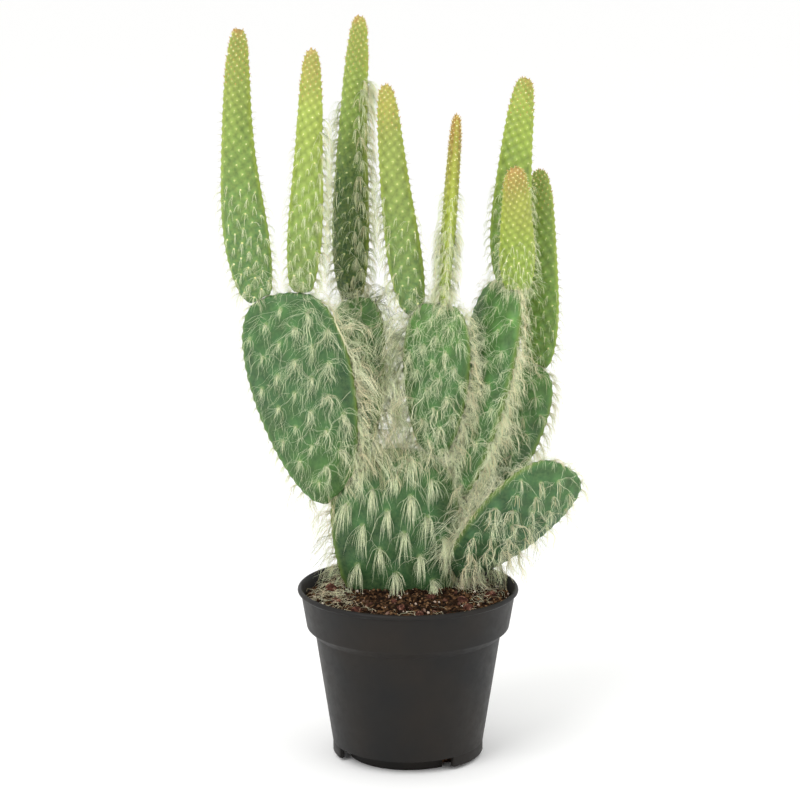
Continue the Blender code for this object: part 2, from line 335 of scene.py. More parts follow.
def pottedPlastic():
    # polypropylene with carbon black, moulded: even charcoal, satin, with a fine grain and a little dust
    material, tree, shader = newMaterial("moulded_black_polypropylene", pot["roughness"], 1.28)
    place = addNode(tree, "TexCoord").outputs["Object"]
    cloud = addNode(tree, "TexNoise", {"Vector": place, "Scale": 1 / (40 * mm), "Detail": 3.0})
    tint = addNode(tree, "ValToRGB", {"Fac": cloud.outputs["Fac"]},
                   [(0.35, pot["plastic"]), (0.75, pot["warm"])])
    scuff = addNode(tree, "TexNoise",
                    {"Vector": place, "Scale": 1 / (6 * mm), "Detail": 8.0, "Roughness": 0.7})
    dust = addNode(tree, "MapRange", {0: scuff.outputs["Fac"], 1: 0.62, 2: 0.80, 3: 0.0, 4: 0.35})
    mixed = addNode(tree, "Mix", {0: dust.outputs[0], 6: tint.outputs["Color"], 7: colour(pot["dust"])},
                    **blend)
    tree.links.new(mixed.outputs[2], shader.inputs["Base Color"])
    rough = addNode(tree, "MapRange", {0: scuff.outputs["Fac"], 1: 0.3, 2: 0.8, 3: 0.42, 4: 0.60})
    tree.links.new(rough.outputs[0], shader.inputs["Roughness"])
    grain = addNode(tree, "TexNoise", {"Vector": place, "Scale": 1 / (0.8 * mm), "Detail": 2.0})
    bump = addNode(tree, "Bump", {"Height": grain.outputs["Fac"], "Strength": 0.25, "Distance": 0.05 * mm})
    tree.links.new(bump.outputs["Normal"], shader.inputs["Normal"])
    return material


makePot()

# ---- potting mix

soil = {
    "gap": 0.3 * mm, "edgeGap": 1.0 * mm,
    "belowRim": 6.8 * mm, "dome": 2.2 * mm,
    "rings": 44, "sides": 144,
    "lumps": 1.5 * mm, "lumpSize": 9.0 * mm, "crumbs": 0.9 * mm, "crumbSize": 2.2 * mm,
    "dark": "#120904", "mid": "#2f1d10", "light": "#664a32",
}
mixLevel = potHigh.z - soil["belowRim"]


def soilHeight(x, y):
    # the heap's smooth top, before the lumps
    share = math.hypot(x, y) / potRadii["bandTop"]
    return mixLevel + soil["dome"] * (1 - share ** 2)


def soilTop(x, y):
    spot = Vector((x, y, 0.0))
    lumps = soil["lumps"] * noise.noise(spot / soil["lumpSize"])
    cell = noise.noise(spot / soil["crumbSize"] + Vector((5, 3, 1)))
    fine = noise.noise(spot / (soil["crumbSize"] * 0.45) + Vector((1, 8, 2)))
    return soilHeight(x, y) + lumps + soil["crumbs"] * (cell + 0.5 * fine)


def mixColour(name, codes, roughness, size):
    # peat, bark and grit: each grain has its own shade of three, and none of them shines
    material, tree, shader = newMaterial(name, roughness, 1.2)
    place = addNode(tree, "TexCoord").outputs["Object"]
    cells = addNode(tree, "TexVoronoi", {"Vector": place, "Scale": 1 / size})
    tint = addNode(tree, "SeparateColor", {"Color": cells.outputs["Color"]})
    brown = addNode(tree, "ValToRGB", {"Fac": tint.outputs[0]},
                    [(0.2, codes[0]), (1.0, codes[2]), (0.7, codes[1])])
    tree.links.new(brown.outputs["Color"], shader.inputs["Base Color"])
    rough = addNode(tree, "TexNoise", {"Vector": place, "Scale": 1 / (0.7 * mm), "Detail": 4.0})
    bump = addNode(tree, "Bump", {"Height": rough.outputs["Fac"], "Strength": 0.7, "Distance": 0.3 * mm})
    tree.links.new(bump.outputs["Normal"], shader.inputs["Normal"])
    return material


def makeSoil():
    wall = potInside(pot["wall"] + soil["gap"])[::-1]
    edge = wall[-1][0] - soil["edgeGap"]
    outline = [*wall[:5], (edge, mixLevel)]
    outline += [(edge * (1 - ring / soil["rings"]), mixLevel) for ring in range(1, soil["rings"])]
    piece = turnedSolid("pottingMix", outline, soil["sides"])
    for vertex in piece.data.vertices:
        x, y, z = vertex.co
        if z > mixLevel - 0.01 * mm:
            vertex.co.z = soilTop(x, y)
    piece.data.shade_smooth()
    rideRoot(piece, mixColour("peat_and_bark", (soil["dark"], soil["mid"], soil["light"]), 0.95, 1.6 * mm),
             ["soil"])
    print("potting mix filled")


def sphereShape(radius):
    # the corners and faces of a small round primitive, to be copied many times
    selectNone()
    bpy.ops.mesh.primitive_ico_sphere_add(subdivisions=1, radius=radius)
    ball = bpy.context.object
    base = verticesOf(ball.data)
    corners = np.array([face.vertices[:] for face in ball.data.polygons])
    bpy.data.objects.remove(ball)
    return base, corners


def meshOf(name, points, faces):
    mesh = bpy.data.meshes.new(name)
    mesh.from_pydata(np.concatenate(points).tolist(), [], np.concatenate(faces).tolist())
    return mesh


crumbs = {"fromWall": 3.5 * mm, "rough": 0.28, "narrowest": 0.6, "flat": 0.7}
crumbKinds = [
    {"piece": "barkCrumbs", "count": 1100, "sizes": (0.6 * mm, 2.6 * mm), "lift": 0.3 * mm, "seed": 3,
     "codes": ("#170c06", "#3d2817", "#8b6b4c")},
    {"piece": "redLavaGrit", "count": 70, "sizes": (1.0 * mm, 3.0 * mm), "lift": 0.4 * mm, "seed": 4,
     "codes": ("#33201a", "#583a2e", "#8c7364")},
    {"piece": "paleGrit", "count": 120, "sizes": (0.6 * mm, 1.7 * mm), "lift": 0.6 * mm, "seed": 5,
     "codes": ("#b59c88", "#d8c6b6", "#eee4da")},
]


def crumbSpots(kind):
    draw = np.random.default_rng(kind["seed"])
    reach = (potRadii["bandTop"] - crumbs["fromWall"]) * np.sqrt(draw.uniform(0, 1, kind["count"]))
    turn = draw.uniform(0, 2 * math.pi, kind["count"])
    flat = [(r * math.cos(a), r * math.sin(a)) for r, a in zip(reach, turn)]
    return [np.array((x, y, soilTop(x, y) + kind["lift"])) for x, y in flat]


def makeCrumbs(kind):
    # copies of one rough lump, each turned, sized and set in its own place
    base, corners = sphereShape(0.5)
    spots = crumbSpots(kind)
    draw = np.random.default_rng(kind["seed"])
    points, faces = [], []
    for number, spot in enumerate(spots):
        turn = np.linalg.qr(draw.normal(size=(3, 3)))[0]
        size = draw.uniform(*kind["sizes"])
        rough = 1 + crumbs["rough"] * draw.normal(size=(len(base), 1)).clip(-1.5, 1.5)
        sides = np.array([1.0, draw.uniform(crumbs["narrowest"], 1.0), crumbs["flat"]])
        points.append((base * rough) * size * sides @ turn.T + spot)
        faces.append(corners + number * len(base))
    piece = newPiece(kind["piece"], meshOf(kind["piece"], points, faces))
    faceOutwards(piece)
    rideRoot(piece, mixColour(kind["piece"] + "_finish", kind["codes"], 0.9, 2.5 * mm))


# lava: reddish, matte and full of small holes
lava = {"pits": 1.1 * mm, "rough": 0.5 * mm, "codes": ("#301c17", "#5a382d", "#8a6454")}


def makeStones():
    stones = sorted(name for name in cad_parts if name.startswith("lava_stone"))
    material = mixColour("porous_red_lava", lava["codes"], 0.9, 1.4 * mm)
    for node in stones:
        piece = nodeCopy(node, "lavaStone" + node[-2:])
        applyModifier(piece, "SUBSURF", levels=2, render_levels=2)
        normals = normalsOf(piece.data)
        for vertex, normal in zip(piece.data.vertices, normals):
            spot = vertex.co / lava["pits"]
            pit = noise.noise(spot) - 0.6 * abs(noise.noise(spot * 2.1))
            vertex.co += Vector(normal) * lava["rough"] * pit
        piece.data.shade_smooth()
        rideRoot(piece, material, [node])
    print(len(stones), "lava stones")


makeSoil()
for crumbKind in crumbKinds:
    makeCrumbs(crumbKind)
makeStones()

# ---- pads

# hair kinds: length in mm, lift away from the skin, spread about it, droop, curl, hook back, thickness in mm,
# bends along it, hairs to a lock, how much painted shade darkens its root, and tone, which the wool's colours
# go by; the lowest tones are painted shade
hairKinds = {
    "broom": dict(length=(10, 24), lift=1.0, spread=0.46, droop=3.1, curl=1.5, hook=0.0, thick=0.15,
                  bends=6, lock=2, dark=0.12, tone=(0.20, 0.40)),
    "tuft": dict(length=(3.5, 8), lift=0.9, spread=0.42, droop=3.0, curl=0.9, hook=0.3, thick=0.15,
                 bends=4, lock=2, dark=0.1, tone=(0.18, 0.46)),
    "stray": dict(length=(9, 20), lift=0.9, spread=0.9, droop=1.7, curl=4.8, hook=0.3, thick=0.11,
                  bends=6, lock=2, dark=0.2, tone=(0.18, 0.46)),
    "arch": dict(length=(7, 13), lift=1.0, spread=0.5, droop=2.8, curl=1.2, hook=2.6, thick=0.14,
                 bends=6, lock=3, dark=0.4, tone=(0.20, 0.66)),
    "wool": dict(length=(12, 26), lift=0.8, spread=0.9, droop=2.0, curl=5.2, hook=0.3, thick=0.19,
                 bends=7, lock=6, dark=0.35, tone=(0.04, 0.62)),
    "fall": dict(length=(18, 40), lift=0.7, spread=0.7, droop=2.7, curl=4.8, hook=0.2, thick=0.20,
                 bends=7, lock=6, dark=0.35, tone=(0.04, 0.62)),
    "puff": dict(length=(5, 12), lift=1.0, spread=0.9, droop=1.4, curl=3.0, hook=0.2, thick=0.12,
                 bends=6, lock=3, dark=0.45, tone=(0.20, 0.52)),
    "bristle": dict(length=(2, 4.2), lift=1.0, spread=0.6, droop=0.2, curl=0.2, hook=0.0, thick=0.15,
                    bends=2, lock=1, dark=0.0, tone=(0.74, 0.84)),
    "spine": dict(length=(1.0, 2.2), lift=1.0, spread=0.6, droop=1.0, curl=0.3, hook=0.0, thick=0.15,
                  bends=2, lock=1, dark=0.0, tone=(0.86, 0.96)),
    "down": dict(length=(4, 9), lift=0.9, spread=0.5, droop=2.6, curl=1.4, hook=1.9, thick=0.12,
                 bends=5, lock=2, dark=0.2, tone=(0.18, 0.44)),
}


def woolFibre():
    # spine wool: hollow, matte fibres that scatter light, from a painted shaded olive, for locks in shadow,
    # through cream to straw; the shade attribute darkens the roots with painted shade
    material, tree, shader = newMaterial("areole_wool_and_spines", 0.65, 1.35)
    shader.inputs["Sheen Weight"].default_value = 0.4
    tone = addNode(tree, "Attribute", attribute_name="tone")
    tint = addNode(tree, "ValToRGB", {"Fac": tone.outputs["Fac"]}, [
        (0.0, "#62763c"), (1.0, "#f6f09a"), (0.12, "#a5b07f"), (0.2, "#e2eebd"), (0.35, "#f8fcd4"),
        (0.5, "#fff5ca"), (0.68, "#dccb9c"), (0.79, "#a3a384"), (0.9, "#f6f3bf"),
    ])
    # painted shade: darker towards each strand's root
    shade = addNode(tree, "Attribute", attribute_name="shade")
    mixed = addNode(tree, "Mix", {0: 1.0, 6: tint.outputs["Color"], 7: shade.outputs["Fac"]}, **multiply)
    tree.links.new(mixed.outputs[2], shader.inputs["Base Color"])
    return material


def skinMaterial(look):
    # cactus epidermis under a thin wax bloom: satin green, paler at the margins and round the areoles, with a
    # painted highlight on each tubercle's crown and painted shade in the dips between them
    material, tree, shader = newMaterial(look["piece"] + "_epidermis", look["roughness"], 1.42)
    place = addNode(tree, "TexCoord").outputs["Object"]
    along, edge, cell = [addNode(tree, "Attribute", attribute_name=name).outputs["Fac"]
                         for name in ("along", "edge", "cell")]
    cloud = addNode(tree, "TexNoise", {"Vector": place, "Scale": 1 / (14 * mm), "Detail": 4.0})
    drift = addNode(tree, "MapRange",
                    {0: cloud.outputs["Fac"], 1: 0.3, 2: 0.7, 3: -look["drift"], 4: look["drift"]})
    height = addNode(tree, "Math", {0: along, 1: drift.outputs[0]}, operation="ADD")
    body = addNode(tree, "ValToRGB", {"Fac": height.outputs[0]}, look["greens"])
    # painted light and shade: lighter on the tubercle crowns, darker in the dips between them
    tubercleShading = addNode(tree, "MapRange", {0: cell, 1: 0.1, 2: 1.0, 3: look["paintedCrownLight"], 4: look["paintedValleyShade"]})
    shadedBody = addNode(tree, "Mix", {0: 1.0, 6: body.outputs["Color"], 7: tubercleShading.outputs[0]}, **multiply)
    upright = addNode(tree, "VectorMath", {0: place, 1: (1.0, 1.0, 0.3)}, operation="MULTIPLY")
    streak = addNode(tree, "TexNoise", {"Vector": upright.outputs[0], "Scale": 1 / (5 * mm), "Detail": 5.0})
    stripe = addNode(tree, "MapRange", {0: streak.outputs["Fac"], 1: 0.3, 2: 0.7, 3: 0.78, 4: 1.30})
    striped = addNode(tree, "Mix", {0: look["streaks"], 6: shadedBody.outputs[2], 7: stripe.outputs[0]},
                      **multiply)
    speckle = addNode(tree, "TexNoise",
                      {"Vector": place, "Scale": 1 / (1.6 * mm), "Detail": 6.0, "Roughness": 0.6})
    fleck = addNode(tree, "MapRange", {0: speckle.outputs["Fac"], 1: 0.35, 2: 0.75, 3: 0.0, 4: 0.30})
    flecked = addNode(tree, "Mix", {0: fleck.outputs[0], 6: striped.outputs[2], 7: colour(look["fleck"])},
                      **blend)
    margin = addNode(tree, "MapRange", {0: edge, 1: 0.55, 2: 0.95, 3: 0.0, 4: look["rimShare"]})
    rimmed = addNode(tree, "Mix", {0: margin.outputs[0], 6: flecked.outputs[2], 7: colour(look["rim"])},
                     **blend)
    halo = addNode(tree, "MapRange", {0: cell, 1: 0.22, 2: 0.0, 3: 0.0, 4: 0.75})
    final = addNode(tree, "Mix", {0: halo.outputs[0], 6: rimmed.outputs[2], 7: colour(look["halo"])}, **blend)
    tree.links.new(final.outputs[2], shader.inputs["Base Color"])
    wax = addNode(tree, "MapRange", {0: speckle.outputs["Fac"], 1: 0.3, 2: 0.7, 3: look["roughness"] - 0.08,
                                     4: look["roughness"] + 0.10})
    tree.links.new(wax.outputs[0], shader.inputs["Roughness"])
    pores = addNode(tree, "TexNoise", {"Vector": place, "Scale": 1 / (0.9 * mm), "Detail": 3.0})
    bump = addNode(tree, "Bump", {"Height": pores.outputs["Fac"], "Strength": 0.35, "Distance": 0.12 * mm})
    tree.links.new(bump.outputs["Normal"], shader.inputs["Normal"])
    return material


def padShape(node, name, cell):
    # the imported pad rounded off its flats, then cut into small even faces
    piece = nodeCopy(node, name)
    applyModifier(piece, "SUBSURF", levels=2, render_levels=2)
    applyModifier(piece, "REMESH", mode="VOXEL", voxel_size=cell)
    applyModifier(piece, "SMOOTH", factor=0.5, iterations=6)
    return piece


def padAxes(points):
    # base and tip, and the ways its width and its thickness run
    centre = points.mean(axis=0)
    _, _, ways = np.linalg.svd(points - centre, full_matrices=False)
    axis, wide, thick = ways
    axis = axis * (1 if axis[2] > 0 else -1)
    wide = wide * (1 if wide[0] > 0 else -1)
    thick = thick * (1 if thick[1] < 0 else -1)
    reach = (points - centre) @ axis
    return {
        "axis": axis, "wide": wide, "thick": thick,
        "base": centre + axis * reach.min(), "length": np.ptp(reach),
        "halfWidth": np.ptp((points - centre) @ wide) / 2, "halfThick": np.ptp((points - centre) @ thick) / 2,
    }


def ringTable(surface, axes, rows=56, sides=40, ends=0.10, missed=0.2):
    # points of the skin, row by row from base to tip and round each row from the +X margin
    shares = (1 - np.cos(np.linspace(ends, math.pi - ends, rows))) / 2
    angles = np.arange(sides) * 2 * math.pi / sides
    table = np.empty((rows, sides, 3))
    halfWide, halfThick = axes["wide"] * axes["halfWidth"], axes["thick"] * axes["halfThick"]
    for row, share in enumerate(shares):
        middle = axes["base"] + axes["axis"] * axes["length"] * share
        rims = [surface.ray_cast(Vector(middle), Vector(way * axes["wide"]))[0] for way in (1, -1)]
        if None not in rims:
            middle = np.array((rims[0] + rims[1]) / 2)
        for side, angle in enumerate(angles):
            way = halfWide * math.cos(angle) + halfThick * math.sin(angle)
            hit = surface.ray_cast(Vector(middle), Vector(way))[0]
            table[row, side] = hit if hit is not None else middle + way * missed
    return shares, table


def atRow(table, shares, share):
    # the ring at this share of the length
    row = np.interp(share, shares, np.arange(len(shares)))
    low = int(min(row, len(shares) - 2))
    return table[low] * (1 - (row - low)) + table[low + 1] * (row - low)


# spots in rows that interlock take up 0.866 of their spacing squared; a young margin closes up to its tip
areolePattern = {
    "interlock": 0.866, "golden": (3 - math.sqrt(5)) / 2, "fromMargin": 0.42, "aboveMix": 3 * mm,
    "atTip": 0.55, "beforeTip": 0.45, "marginCell": 1.4, "cellReach": 0.62,
}


def spacingAt(look, share):
    # between the base, the middle and the tip
    return np.interp(share, [0, 0.5, 1], look["spacing"]) * mm


def placeAreoles(look, shares, table):
    # areoles follow one spiral at the golden angle, closer towards the tip, and stand in rows on the margins
    loops = np.concatenate([table, table[:, :1]], axis=1)
    girth = np.linalg.norm(np.diff(loops, axis=1), axis=2).sum(axis=1)
    steps = np.linalg.norm(np.diff(table, axis=0), axis=2).mean(axis=1)
    rowCounts = girth / (areolePattern["interlock"] * spacingAt(look, shares) ** 2)
    counts = np.concatenate([[0], np.cumsum(steps * (rowCounts[:-1] + rowCounts[1:]) / 2)])
    spots = []
    for number in range(int(counts[-1])):
        share = float(np.interp(number + 0.5, counts, shares))
        ring = atRow(table, shares, share)
        closed = np.vstack([ring, ring[:1]])
        run = np.concatenate([[0], np.cumsum(np.linalg.norm(np.diff(closed, axis=0), axis=1))])
        goal = ((number * areolePattern["golden"] + look["turn"]) % 1) * run[-1]
        spots.append((np.array([np.interp(goal, run, closed[:, i]) for i in range(3)]), share))
    half = table.shape[1] // 2
    rim = np.concatenate([table[:, 0], table[::-1, half]])
    rimShares = np.concatenate([shares, shares[::-1]])
    run = np.concatenate([[0], np.cumsum(np.linalg.norm(np.diff(rim, axis=0), axis=1))])
    goal = 0.0
    margins = []
    while goal < run[-1]:
        share = float(np.interp(goal, run, rimShares))
        margins.append((np.array([np.interp(goal, run, rim[:, i]) for i in range(3)]), share, True))
        closeness = areolePattern["atTip"] + areolePattern["beforeTip"] * (1 - share) ** 0.5
        goal += look["marginSpacing"] * mm * (closeness if look["young"] else 1.0)
    rimPoints = np.array([m[0] for m in margins])
    keep = []
    for spot, share in spots:
        nearest = np.linalg.norm(rimPoints - spot, axis=1).min()
        if nearest > areolePattern["fromMargin"] * spacingAt(look, share):
            keep.append((spot, share, False))
    return keep + margins


def raiseTubercles(look, piece, areoles, axes):
    # each areole sits on a low tubercle; the skin dips between them
    mesh = piece.data
    points, normals = verticesOf(mesh), normalsOf(mesh)
    tree = KDTree(len(areoles))
    for number, areole in enumerate(areoles):
        tree.insert(areole["place"], number)
    tree.balance()
    along = ((points - axes["base"]) @ axes["axis"]) / axes["length"]
    edge = np.abs(normals @ axes["wide"])
    cell = np.empty(len(points))
    for number, point in enumerate(points):
        _, found, far = tree.find(point)
        cell[number] = far / (areolePattern["cellReach"] * areoles[found]["spacing"])
    cell = np.clip(cell, 0, 1)
    height = np.interp(along, [0, 0.5, 1], np.array(look["bump"]) * mm)
    points += normals * (height * (np.cos(cell * math.pi) * 0.5))[:, None]
    mesh.vertices.foreach_set("co", points.astype(np.float32).ravel())
    mesh.update()
    setAttribute(mesh, "along", along)
    setAttribute(mesh, "edge", edge)
    setAttribute(mesh, "cell", cell)
    mesh.shade_smooth()


def treeOf(pieces):
    # one search tree over the faces of these pieces
    points, faces = [], []
    for piece in pieces:
        before = len(points)
        points += [vertex.co.copy() for vertex in piece.data.vertices]
        faces += [[corner + before for corner in face.vertices] for face in piece.data.polygons]
    return BVHTree.FromPolygons(points, faces)


plantMeshes = []


def makeSkin(look):
    piece = padShape(look["node"], look["piece"], look["cell"] * mm)
    axes = padAxes(verticesOf(piece.data))
    surface = treeOf([piece])
    shares, table = ringTable(surface, axes)
    areoles = []
    for spot, share, onMargin in placeAreoles(look, shares, table):
        place, normal, _, _ = surface.find_nearest(Vector(spot))
        if place.z < mixLevel + areolePattern["aboveMix"] or share < look["seat"]:
            continue
        offset = np.array(place) - (axes["base"] + axes["axis"] * axes["length"] * share)
        spacing = spacingAt(look, share)
        marginCell = look["marginSpacing"] * mm * areolePattern["marginCell"]
        areoles.append({
            "place": np.array(place), "normal": np.array(normal), "along": share, "margin": onMargin,
            "across": float(offset @ axes["wide"]) / axes["halfWidth"],
            "spacing": min(spacing, marginCell) if onMargin else spacing,
        })
    raiseTubercles(look, piece, areoles, axes)
    rideRoot(piece, skinMaterial(look), [look["node"]])
    plantMeshes.append(piece)
    look["areoles"], look["axes"] = areoles, axes
    print(look["piece"], len(areoles), "areoles,", triangles([piece]), "triangles")


def strandMesh(name, paths, radii, tones, dark=0.1):
    # every strand is a three-sided tube that closes in a point; paths is strands x points x 3
    strands, stops = paths.shape[:2]
    rings = stops - 1
    heading = unit(np.diff(paths, axis=1))
    aside = unit(np.cross(heading, np.array([0.31, 0.83, 0.46])))
    other = np.cross(heading, aside)
    turns = np.arange(3) * 2 * math.pi / 3
    ring = (aside[:, :, None] * np.cos(turns)[:, None] + other[:, :, None] * np.sin(turns)[:, None])
    tubes = paths[:, :rings, None] + ring * radii[:, :rings, None, None]
    each = rings * 3 + 1
    points = np.concatenate([tubes.reshape(strands, rings * 3, 3), paths[:, -1:]], axis=1)
    first = np.arange(rings - 1)[:, None] * 3
    side = np.arange(3)[None]
    after = (side + 1) % 3
    quads = np.stack([first + side, first + after, first + 3 + after, first + 3 + side], axis=-1)
    quads = quads.reshape(-1, 4)
    last = (rings - 1) * 3
    caps = np.array([[last + s, last + (s + 1) % 3, each - 1] for s in range(3)] + [[2, 1, 0]])
    start = (np.arange(strands) * each)[:, None, None]
    corners = np.concatenate([(quads + start).ravel(), (caps + start).ravel()]).astype(np.int32)
    sizes = np.concatenate([np.full(strands * len(quads), 4), np.full(strands * len(caps), 3)])
    starts = np.concatenate([[0], np.cumsum(sizes)[:-1]]).astype(np.int32)
    mesh = bpy.data.meshes.new(name)
    mesh.vertices.add(strands * each)
    mesh.vertices.foreach_set("co", points.astype(np.float32).ravel())
    mesh.loops.add(len(corners))
    mesh.loops.foreach_set("vertex_index", corners)
    mesh.polygons.add(len(starts))
    mesh.polygons.foreach_set("loop_start", starts)
    mesh.update(calc_edges=True)
    reach = np.concatenate([np.repeat(np.arange(rings) / rings, 3), [1.0]])
    setAttribute(mesh, "tone", np.repeat(tones, each))
    setAttribute(mesh, "strand", np.tile(reach, strands))
    # painted shade: each strand is darkened towards its root, where the wool lies deep in its own shadow
    setAttribute(mesh, "shade", np.tile(1 - dark * (1 - reach) ** 2, strands))
    mesh.shade_smooth()
    return mesh


strandWays = {"likeLock": 0.2, "rootSpread": 0.22, "sunk": 0.3 * mm, "clear": 0.25 * mm,
              "waves": 9.5, "bending": 0.8, "thinnest": 0.5}


def growStrands(kind, roots, crown, draw, skins):
    # roots are (place, normal); the strands bend down and curl in locks, and slide over the skin they meet
    count, bends = len(roots), kind["bends"]
    own = np.arange(count) // kind["lock"]

    def varied(amount, within):
        # a random way for each lock, and a little of its own for each hair
        return (draw.normal(size=(own[-1] + 1, 3))[own] + draw.normal(size=(count, 3)) * within) * amount

    normal = unit(np.array([root[1] for root in roots]))
    shift = varied(crown * mm, strandWays["rootSpread"])
    shift -= normal * (shift * normal).sum(axis=1, keepdims=True)
    here = np.array([root[0] for root in roots]) + shift
    heading = unit(normal * kind["lift"] + varied(kind["spread"] * 0.6, strandWays["likeLock"]))
    lengths = draw.uniform(*kind["length"], own[-1] + 1)[own] * draw.uniform(0.75, 1.1, count) * mm
    swirl = unit(varied(1.0, 0.08))
    spin = unit(np.cross(swirl, heading))
    phase = draw.uniform(0, 2 * math.pi, own[-1] + 1)[own, None] + draw.normal(size=(count, 1)) * 0.15
    paths = np.empty((count, bends + 1, 3))
    paths[:, 0] = here - normal * strandWays["sunk"]
    for number in range(bends):
        wave = phase + number * strandWays["waves"] / bends
        bend = -up * kind["droop"] - normal * kind["hook"] * (number / bends)
        bend = bend + (swirl * np.cos(wave) + spin * np.sin(wave)) * kind["curl"]
        heading = unit(heading + bend / bends * strandWays["bending"])
        here = here + heading * (lengths / bends)[:, None]
        if bends > 3:
            for strand in range(count):
                spot, facing, _, _ = skins.find_nearest(Vector(here[strand]))
                gap = (here[strand] - np.array(spot)) @ np.array(facing)
                if gap < strandWays["clear"]:
                    here[strand] = np.array(spot) + np.array(facing) * strandWays["clear"]
                    heading[strand] = unit(here[strand] - paths[strand, number])
        paths[:, number + 1] = here
    taper = np.linspace(1.0, strandWays["thinnest"], bends + 1)
    radii = kind["thick"] / 2 * mm * taper[None] * draw.uniform(0.8, 1.2, (count, 1))
    tones = draw.uniform(*kind["tone"], own[-1] + 1)[own] + draw.normal(size=count) * 0.02
    return paths, radii, tones.clip(0, 1)


def cushions(look, draw):
    # a small felted dome for every areole
    base, corners = sphereShape(1.0)
    points, faces, tones = [], [], []
    for number, areole in enumerate(look["areoles"]):
        size = np.interp(areole["along"], [0, 1], look["cushion"]) / 2 * mm * draw.uniform(0.8, 1.15)
        normal = areole["normal"]
        aside = unit(np.cross(normal, [0.2, 0.5, 0.8]))
        frameWays = np.array([aside, np.cross(normal, aside), normal * 0.7])
        points.append(areole["place"] + base * draw.uniform(0.85, 1.15, (len(base), 1)) * size @ frameWays)
        faces.append(corners + number * len(base))
        tones += [draw.uniform(*look["cushionTone"])] * len(base)
    mesh = meshOf(look["piece"] + "Cushions", points, faces)
    setAttribute(mesh, "tone", tones)
    setAttribute(mesh, "shade", np.full(len(tones), 1.0))
    return mesh


# an areole near a growing tip still has its leaf, a soft cone under 2 mm long
leaves = {"from": 0.80, "length": (0.7, 1.4), "width": 0.75, "bends": 4,
          "colours": [(0.0, "#93a046"), (1.0, "#d9946a"), (0.55, "#c9a056")]}


def leafFlesh():
    # leaf flesh: moist and smooth, green at the foot and pink to orange at the point
    material, tree, shader = newMaterial("young_leaf_flesh", 0.42, 1.42)
    reach = addNode(tree, "Attribute", attribute_name="strand")
    tint = addNode(tree, "ValToRGB", {"Fac": reach.outputs["Fac"]}, leaves["colours"])
    tree.links.new(tint.outputs["Color"], shader.inputs["Base Color"])
    return material


def makeLeaves(look, material):
    draw = np.random.default_rng(look["seed"] + 100)
    tips = [areole for areole in look["areoles"] if areole["along"] > leaves["from"]]
    count, bends = len(tips), leaves["bends"]
    normal = np.array([areole["normal"] for areole in tips])
    side = unit(np.cross(normal, look["axes"]["axis"]))
    place = np.array([areole["place"] for areole in tips]) - np.cross(normal, side) * 0.45 * mm
    way = unit(normal * 0.8 + look["axes"]["axis"] * 0.75 + draw.normal(size=(count, 3)) * 0.12)
    lengths = draw.uniform(*leaves["length"], count) * mm
    stops = np.linspace(0, 1, bends + 1)
    paths = place[:, None] + way[:, None] * stops[None, :, None] * lengths[:, None, None]
    taper = np.sqrt(np.clip(1 - stops ** 1.6, 0, 1))
    radii = np.tile(leaves["width"] / 2 * mm * taper, (count, 1))
    mesh = strandMesh(look["piece"] + "Leaves", paths, radii, np.zeros(count))
    rideRoot(newPiece(look["piece"] + "Leaves", mesh), material)


def inRange(value, limits):
    return limits[0] <= value <= limits[1]


def makeWool(look, material, skins):
    draw = np.random.default_rng(look["seed"])
    meshes = [cushions(look, draw)]
    for rule in look["hair"]:
        kind = {**hairKinds[rule["kind"]], **rule.get("change", {})}
        roots = []
        for areole in look["areoles"]:
            if (inRange(areole["along"], rule.get("along", (0, 1)))
                    and inRange(areole["across"], rule.get("across", (-2, 2)))
                    and rule.get("margin", areole["margin"]) == areole["margin"]):
                amount = round(rule["count"] * draw.uniform(0.75, 1.25))
                roots += [(areole["place"], areole["normal"])] * amount
        if roots:
            paths, radii, tones = growStrands(kind, roots, rule.get("crown", 0.5), draw, skins)
            meshes.append(strandMesh(look["piece"] + rule["kind"], paths, radii, tones, kind["dark"]))
    parts = [newPiece(look["piece"] + "Wool", mesh) for mesh in meshes]
    selectNone()
    for part in parts:
        part.select_set(True)
    bpy.context.view_layer.objects.active = parts[0]
    bpy.ops.object.join()
    piece = bpy.context.object
    piece.name = look["piece"] + "Wool"
    piece.data.shade_smooth()
    rideRoot(piece, material)
    print(piece.name, triangles([piece]), "triangles")


grown = {
    "young": False, "slot": "grown_pad", "cell": 1.15, "roughness": 0.52, "seat": 0.02, "turn": 0.0,
    "spacing": (13, 13, 11), "marginSpacing": 6.0, "bump": (0.8, 1.0, 0.9), "cushion": (1.7, 1.4),
    "cushionTone": (0.20, 0.52), "fleck": "#7d9a5c", "rim": "#74883a", "rimShare": 0.7, "halo": "#a9bb7c",
    # on this line, the two tubercle factors paint a highlight on each crown and shade in the dips
    "paintedCrownLight": 1.14, "paintedValleyShade": 0.56, "drift": 0.10, "streaks": 0.8,
    "greens": [(0.0, "#30552f"), (1.0, "#4f7a3e"), (0.5, "#3a6636")],
}
young = {
    "young": True, "slot": "young_pad", "cell": 0.72, "roughness": 0.45, "seat": 0.015,
    "spacing": (6.6, 6.0, 2.3), "marginSpacing": 5.0, "bump": (0.5, 0.7, 0.6), "cushion": (1.3, 0.9),
    "cushionTone": (0.90, 1.0), "fleck": "#b3c062", "rim": "#a2b13e", "rimShare": 0.5, "halo": "#e4e59a",
    # on this line, the two tubercle factors paint a highlight on each crown and shade in the dips
    "paintedCrownLight": 1.20, "paintedValleyShade": 0.62, "drift": 0.05, "streaks": 0.6,
    "greens": [(0.0, "#4a7f3e"), (1.0, "#c9925a"), (0.35, "#6d9140"), (0.75, "#8ea246"), (0.95, "#a3a54a")],
}


def hair(kind, count, **where):
    # a rule: so many hairs of this kind on each areole of a stretch along, across or on the margin
    return dict(kind=kind, count=count, **where)


